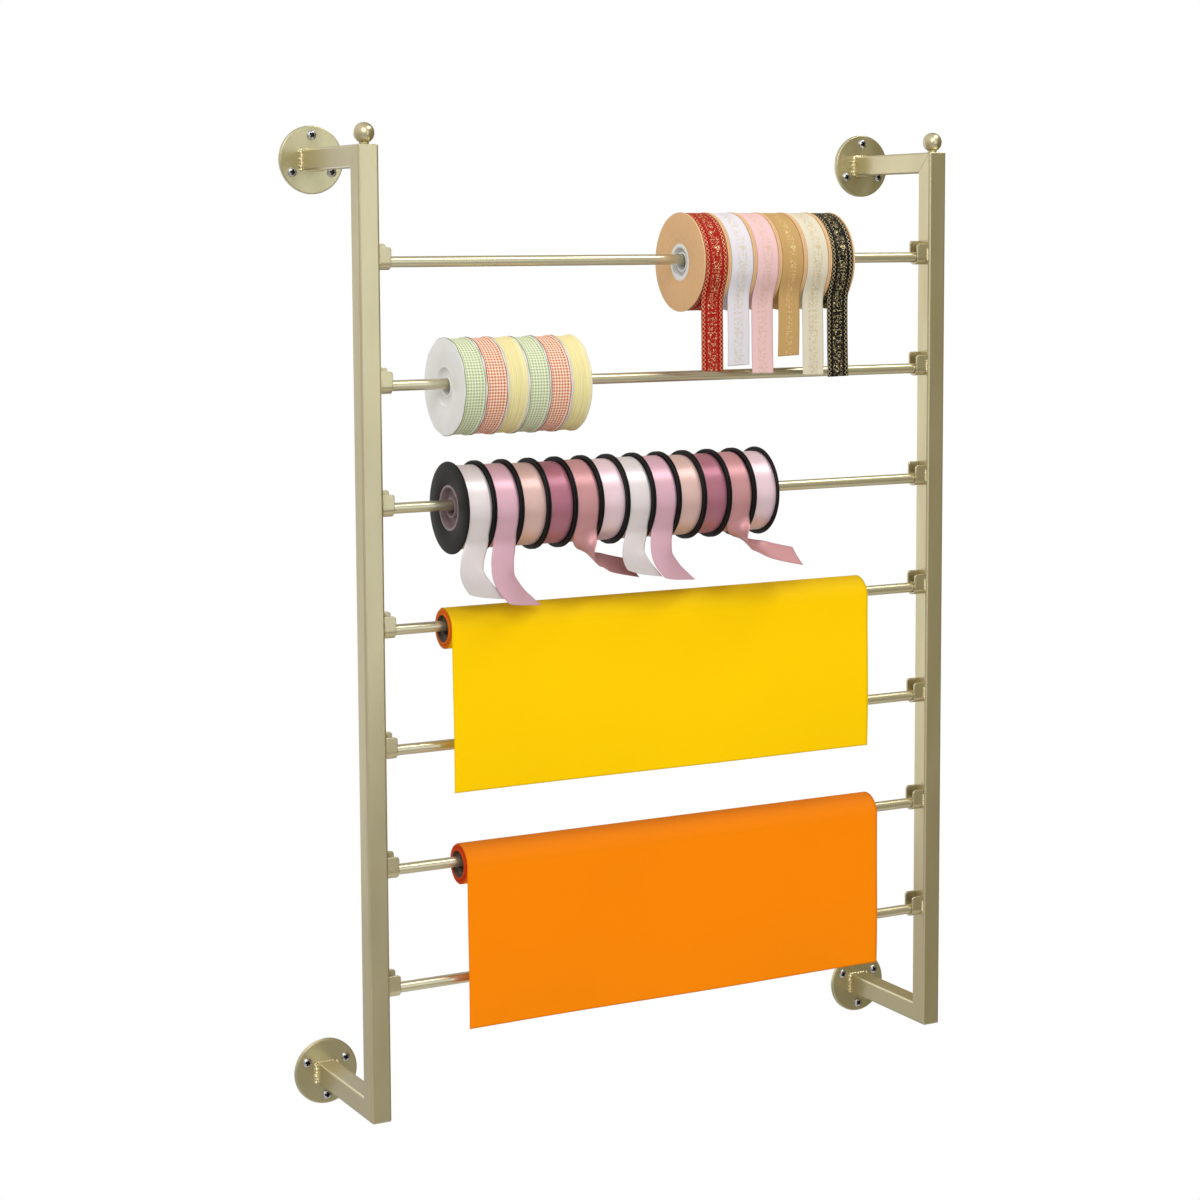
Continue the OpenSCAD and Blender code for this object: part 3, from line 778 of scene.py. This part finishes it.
def hangingPath(middle, radius, behind, fall, s, spare=0):
    # over a pack, from behind degrees past its top, and down its front; then on by its lean to the
    # right, its lean forwards and its twist about its own line, each in degrees and keyed by the
    # length fallen in mm. spare is for a slanted cut
    overSteps, downSteps = 59, 240
    turn = np.linspace(-math.radians(behind), np.pi / 2, overSteps + 1)
    over = np.stack([np.full(overSteps + 1, middle[0]), middle[1] - radius * np.sin(turn),
                     middle[2] + radius * np.cos(turn)], axis=1)
    down = np.linspace(0, fall + spare, downSteps + 1)
    lean, forward, twist = (np.radians(keyed(down / mm, s.get(key, [(0, 0), (1, 0)])))
                            for key in ("lean", "forward", "twist"))
    level = np.cos(forward)
    ahead = np.stack([np.sin(lean) * level, -np.sin(forward), -np.cos(lean) * level], 1)
    flat = np.stack([np.cos(lean), 0 * lean, np.sin(lean)], 1)
    upright = np.cross(ahead, flat)
    way = flat * np.cos(twist)[:, None] + upright * np.sin(twist)[:, None]
    middles = (ahead[1:] + ahead[:-1]) / 2 * ((fall + spare) / downSteps)
    falling = over[-1] + np.concatenate([[[0, 0, 0]], np.cumsum(middles, axis=0)])
    points = np.concatenate([over[:-1], falling])
    run = np.concatenate([[0], np.cumsum(np.linalg.norm(np.diff(points, axis=0), axis=1))])
    ways = np.concatenate([np.tile([1.0, 0, 0], (overSteps, 1)), way])
    return {"points": points, "run": run, "length": run[-1] - spare}, ways


def makeRibbonEnd(name, spoolName, ribbon, s):
    slant = s["slant"] * mm
    path, ways = hangingPath(nodeCentre(spoolName), s["radius"], s["behind"], s["fall"] * mm, s,
                             abs(slant) / 2)
    strip = stripAlong(path, ways, s["width"], slant, rows=150, columns=15, crown=s["crown"])
    piece = makePiece(name, [strip], [ribbon], closed=False, smooth=60)
    thicken(piece, s["thickness"])
    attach(piece, s["body"])
    return piece


# each end's fall is how far it hangs below its spool's axis; it and the slant of its cut are in mm
cardEnd = {
    "radius": 46.85 * mm, "behind": 25, "width": 24 * mm, "crown": 0.5 * mm, "thickness": 0.28 * mm,
    "body": "rod_1",
}
cardFalls = (       # fall, slant, lean, then the lean forwards at two lengths and at the end
    (105, 1, 0.8, (22, -25), (46, 1), -1),
    (100, -1, 0.5, (20, -23), (44, 2), -2),
    (109, 1, 1, (24, -26), (50, 0), 1),
    (92, -1, 0.3, (20, -22), (42, 1), -3),
    (112, 1, 0.8, (22, -25), (48, 2), -1),
    (114, 0, 1.2, (22, -24), (46, 0), 1),
)
cardEnds = {i: {"fall": fall, "slant": slant, "lean": [(20, 0), (fall, lean)],
                "forward": [(0, 0), bulge, back, (fall, last)]}
            for i, (fall, slant, lean, bulge, back, last) in enumerate(cardFalls, start=1)}
blackEnd = dict(cardEnd, radius=39.05 * mm, width=23 * mm, crown=0.6 * mm, body="rod_3")
blackEnds = {       # only these black spools have a loose end
    1: {"fall": 90, "slant": 30, "lean": [(26, 0), (40, -20), (52, -8), (70, 36), (90, 46)],
        "forward": [(0, 0), (18, -24), (40, 3), (90, -6)], "twist": [(40, 0), (88, 12)]},
    2: {"fall": 102, "slant": 32, "lean": [(28, 0), (42, -12), (54, 0), (78, 40), (102, 50)],
        "forward": [(0, 0), (18, -22), (40, 4), (96, -6)], "twist": [(50, 0), (98, -20)]},
    5: {"fall": 119, "slant": 4, "lean": [(32, 0), (64, 72), (115, 78)],
        "forward": [(0, 0), (18, -18), (40, -4), (66, -30), (110, -12)],
        "twist": [(22, 0), (60, 118), (84, 132)]},
    7: {"fall": 77, "slant": 30, "lean": [(28, 0), (38, -17), (47, -6), (61, 34), (78, 44)],
        "forward": [(0, 0), (18, -24), (38, 3), (76, -6)], "twist": [(34, 0), (74, 12)]},
    8: {"fall": 88, "slant": 32, "lean": [(24, 0), (36, -10), (46, 2), (66, 40), (88, 50)],
        "forward": [(0, 0), (18, -22), (38, 4), (84, -6)], "twist": [(40, 0), (84, -18)]},
    11: {"fall": 113, "slant": 4, "lean": [(27, 0), (59, 72), (110, 78)],
         "forward": [(0, 0), (16, -18), (36, 2), (105, -4)],
         "twist": [(18, 0), (55, 118), (79, 132)]},
}
for rowName, common, ends, ribbons in (("card", cardEnd, cardEnds, cardRibbons),
                                       ("black", blackEnd, blackEnds, satinRibbons)):
    slotNames = list(ribbons)
    for i, own in ends.items():
        slotName = slotNames[(i - 1) % len(slotNames)]
        end = makeRibbonEnd(f"{rowName}_end_{i}", f"{rowName}_spool_{i}", ribbons[slotName],
                            dict(common, **own))
        if i == 1:
            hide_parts(f"{rowName}_ribbon_ends")
print("ribbon ends hung")

# rolls of sheet

roll = {
    "outer": 19 * mm, "coreOuter": 15 * mm, "coreWall": 2.5 * mm, "plug": 15 * mm, "bore": 8 * mm,
    "coreEnd": 1 * mm, "edge": 0.35 * mm, "coreEdge": 0.4 * mm,
    "loose": 0.25 * mm,                     # how far the outer turn steps in over one turn
    "rim": 12.6 * mm, "recess": 4 * mm,     # inside this rim the plug sits a little way in
}
sheet = {
    "radius": roll["outer"] + 0.35 * mm, "behind": 20, "inset": roll["coreEnd"],
    "thickness": 0.45 * mm,
    "wave": 0.9 * mm, "waveLength": 0.31, "wavePhase": 0.8, "rows": 110, "columns": 121,
}


def woundEdge(tree, across, face, edgeShade):
    # where the lay is negative, on the ends of the roll, the sheet takes its edge shade colour, a
    # painted shade darker and redder than its face, with fine rings of deeper painted shade between
    # the turns
    turns = blendColour(tree, stripe(tree, across, 0.45 * mm, 0.5, 0.5), edgeShade, dim(edgeShade, 0.55))
    return blendColour(tree, calc(tree, "LESS_THAN", across, 0.0), face, turns)


def film(name, colour, edgeShade=None):
    # with an edge shade colour it is the wound sheet. Otherwise it is the hanging one, which
    # carries painted shade where it passes over its roll, and is plain from the front of it down
    material, tree, shader = newMaterial(name, roughness=0.7, specular=0.06)
    along, across = alongAcross(tree)
    face = blendColour(tree, noise(tree, 7, 2.0), colour, dim(colour, 0.95))
    if edgeShade:
        face = woundEdge(tree, across, face, edgeShade)
    else:
        # painted shade: the sheet is darker where it turns over the top of its roll
        paintedTopShade = rescale(tree, along, 1.0, 0.0, 14 * mm, 39 * mm)
        face = blendColour(tree, paintedTopShade, face, tuple(c * 0.64 + 0.008 for c in colour))
    tree.links.new(face, shader.inputs["Base Color"])
    relief(tree, shader, noise(tree, 1400, 3.0), 0.015 * mm)
    return material


def coreCard(name, edgeShade):
    # the first turns of the sheet cover the core's rim, where the lay is negative and the same
    # painted shade as on the roll's ends is laid
    material, tree, shader = newMaterial(name, roughness=0.9, specular=0.2)
    _, across = alongAcross(tree)
    speck = rescale(tree, noise(tree, 900, 4.0), 0.0, 1.0, 0.35, 0.7)
    card = blendColour(tree, speck, (0.03, 0.02, 0.015), (0.24, 0.19, 0.16))
    tree.links.new(woundEdge(tree, across, card, edgeShade), shader.inputs["Base Color"])
    relief(tree, shader, speck, 0.1 * mm)
    return material


def makeRoll(name, s, woundFilm, core):
    low, high = nodeSpan(f"{name}_core")
    middle = (low + high) / 2
    coreHalf = (high[0] - low[0]) / 2
    half = coreHalf - s["coreEnd"]
    inner, outer = s["coreOuter"] + 0.1 * mm, s["outer"]
    corners = [(outer, -half), (outer, half), (inner, half), (inner, -half)]
    outline = roundOutline(corners, s["edge"])
    points, angle, _ = turnAboutRod(outline, middle, sides=96)
    radius, along = outline[:, 0], outline[:, 1]
    # across is negative on the ends, where it holds the depth below the outside
    across = np.where(np.abs(along) > half - 0.2 * mm, radius - outer - 0.05 * mm, 0.1 * mm)
    turn = s["loose"] * ((angle / (2 * np.pi)) % 1) * (radius[None, :] > outer - mm)
    points[..., 1] += turn * np.sin(angle)
    points[..., 2] -= turn * np.cos(angle)
    turns = surface(points, angle * outer, across[None, :])
    wound = makePiece(f"{name}_wound", [turns], [woundFilm])
    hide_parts(f"{name}_roll")
    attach(wound, f"{name}_roll")
    inside = s["coreOuter"] - s["coreWall"]
    plug, face = coreHalf - s["plug"], coreHalf - s["recess"]
    rightEnd = [(s["coreOuter"], coreHalf), (s["rim"], coreHalf), (s["rim"], face),
                (s["bore"], face), (s["bore"], plug), (inside, plug)]
    outline = roundOutline([(r, -x) for r, x in rightEnd[::-1]] + rightEnd, s["coreEdge"])
    points, angle, across = turnAboutRod(outline, middle, sides=72)
    radius, along = outline[:, 0], outline[:, 1]
    onRim = (radius > s["rim"] + 0.05 * mm) & (np.abs(along) > coreHalf - mm)
    across = np.where(onRim, radius - outer, across)
    card = surface(points, angle * s["coreOuter"], across)
    tube = makePiece(f"{name}_tube", [card], [core])
    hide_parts(f"{name}_core")
    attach(tube, f"{name}_roll")


def makeSheet(name, s, sheetFilm, body, fall, curl):
    # hangs from over the top of its roll. A slow wave along its width grows as it falls:
    # wave (1 + sin(2 pi x / waveLength + wavePhase)) (drop / fall)^2
    low, high = nodeSpan(f"{name}_core")
    middle = (low + high) / 2
    width = high[0] - low[0] - 2 * s["inset"]
    path, ways = hangingPath(middle, s["radius"], s["behind"], fall, {"forward": curl})
    strip = stripAlong(path, ways, width, 0, s["rows"], s["columns"], crown=0)
    points = strip["points"]
    drop = np.clip((middle[2] - points[:, 2]) / fall, 0, 1)
    phase = 2 * np.pi * points[:, 0] / s["waveLength"] + s["wavePhase"]
    points[:, 1] -= s["wave"] * (1 + np.sin(phase)) * drop ** 2
    piece = makePiece(f"{name}_hanging", [strip], [sheetFilm], closed=False, smooth=60)
    thicken(piece, s["thickness"])
    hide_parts(f"{name}_sheet")
    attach(piece, body)


sheets = {          # face colour, the painted shade colour of the roll's ends, the rod's body, how far it falls, and its lean forwards
    "yellow": ((1.0, 0.63, 0.0), (0.84, 0.17, 0.005), "rod_4", 151 * mm,
               [(0, 0), (60, 1.5), (151, -2)]),
    "orange": ((0.98, 0.255, 0.001), (0.72, 0.06, 0.004), "rod_6", 153 * mm,
               [(0, 0), (70, 1), (153, -1.5)]),
}
for name, (colour, edgeShade, body, fall, curl) in sheets.items():
    makeRoll(name, roll, film(f"{name}Roll", colour, edgeShade), coreCard(f"{name}Core", edgeShade))
    makeSheet(name, sheet, film(f"{name}Film", colour), body, fall, curl)
print("rolls done")

# weld beads

weld = {"radius": 2.2 * mm, "ripple": 0.38, "pitch": 3.4 * mm, "sides": 14}
seamWeld = dict(weld, radius=0.8 * mm, ripple=0.1)
smallWeld = dict(weld, radius=0.9 * mm, ripple=0.3, pitch=2.2 * mm)
flangeWelds = {     # from the flange's middle: the side beads, and the seams above and below
    "side": 10.6 * mm, "sideOut": -4.4 * mm, "sideLength": 21 * mm, "wander": 0.35 * mm,
    "seam": 10.1 * mm, "seamOut": -4.2 * mm, "seamHalf": 10 * mm,
}
saddleWelds = {     # in mm: a leg is its y, and where its bead starts and ends from the rod's axis
    "faces": {"left": 10, "right": 610}, "topRow": 785, "rowStep": 112, "rows": 7,
    "legs": ((-137.5, -4, 9), (-122.4, -4, 12)),
}


def beadAlong(path, s):
    # a rippled bead round a path of length L: radius = r (1 + ripple sin(2 pi s / pitch)), closed
    # to a point at each end by (1 - |2 s / L - 1|^6)^(1/2)
    step = np.linalg.norm(np.diff(path, axis=0), axis=1)
    run = np.concatenate([[0], np.cumsum(step)])
    count = max(1, round(run[-1] / s["pitch"]))
    size = s["radius"] * (1 + s["ripple"] * np.sin(2 * np.pi * count * run / run[-1]))
    size *= np.sqrt(np.clip(1 - np.abs(2 * run / run[-1] - 1) ** 6, 0, 1))
    ahead = np.gradient(path, axis=0)
    ahead /= np.linalg.norm(ahead, axis=1, keepdims=True)
    a = np.cross(ahead, np.array([0, 1.0, 0]))
    a /= np.linalg.norm(a, axis=1, keepdims=True)
    b = np.cross(ahead, a)
    turn = np.linspace(0, 2 * np.pi, s["sides"] + 1)[None, :, None]
    ring = a[:, None] * np.cos(turn) + b[:, None] * np.sin(turn)
    points = path[:, None] + size[:, None, None] * ring
    return surface(points, run[:, None], turn[..., 0] * s["radius"])


def sideLine(x, y, z, length, wander, seed, count=80):
    # a line up Z that wanders across it by wander (sin(run / 1.3 mm) + 0.6 sin(run / 2.9 mm)), with
    # chosen phases
    run = np.linspace(-length / 2, length / 2, count)
    phase = np.random.default_rng(seed).uniform(0, 6.28, 2)
    shift = np.sin(run / (1.3 * mm) + phase[0]) + 0.6 * np.sin(run / (2.9 * mm) + phase[1])
    return np.stack([x + wander * shift, np.full(count, y), z + run], axis=1)


def layWelds(name, beads):
    piece = makePiece(name, beads, [beadPaint], smooth=70)
    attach(piece, "frame")


s = flangeWelds
for k, flangeName in enumerate(("left_top", "left_bottom", "right_top", "right_bottom")):
    x, _, z = nodeCentre(f"{flangeName}_flange")
    seam = x + np.linspace(-1, 1, 40) * s["seamHalf"]
    beads = []
    for side in (-1, 1):
        line = sideLine(x + side * s["side"], s["sideOut"], z, s["sideLength"], s["wander"],
                        10 * k + side + 1)
        beads.append(beadAlong(line, weld))
        line = [seam, 0 * seam + s["seamOut"], 0 * seam + z + side * s["seam"]]
        beads.append(beadAlong(np.stack(line, axis=1), seamWeld))
    layWelds(f"{flangeName}_weld", beads)

s = saddleWelds
for sideName, face in s["faces"].items():
    beads = []
    for row in range(s["rows"]):
        rod = s["topRow"] - s["rowStep"] * row
        for y, low, high in s["legs"]:
            line = sideLine(face * mm, y * mm, (rod + (low + high) / 2) * mm, (high - low) * mm, 0,
                            row, 50)
            beads.append(beadAlong(line, smallWeld))
    layWelds(f"{sideName}_saddle_welds", beads)
print("weld beads laid")

# floor

floorPlan = {"height": -1.6, "sides": (-2.2, 2.8), "ends": (-3.2, 1.2), "colour": (0.8, 0.8, 0.79)}
corners = np.array([[[x, y, floorPlan["height"]] for y in floorPlan["ends"]]
                    for x in floorPlan["sides"]])
paleFloor, _, floorShader = newMaterial("paleFloor", roughness=0.9, specular=0.1)
floorShader.inputs["Base Color"].default_value = (*floorPlan["colour"], 1)
floor = makePiece("floor", [surface(corners, 0, 0)], [paleFloor], closed=False)
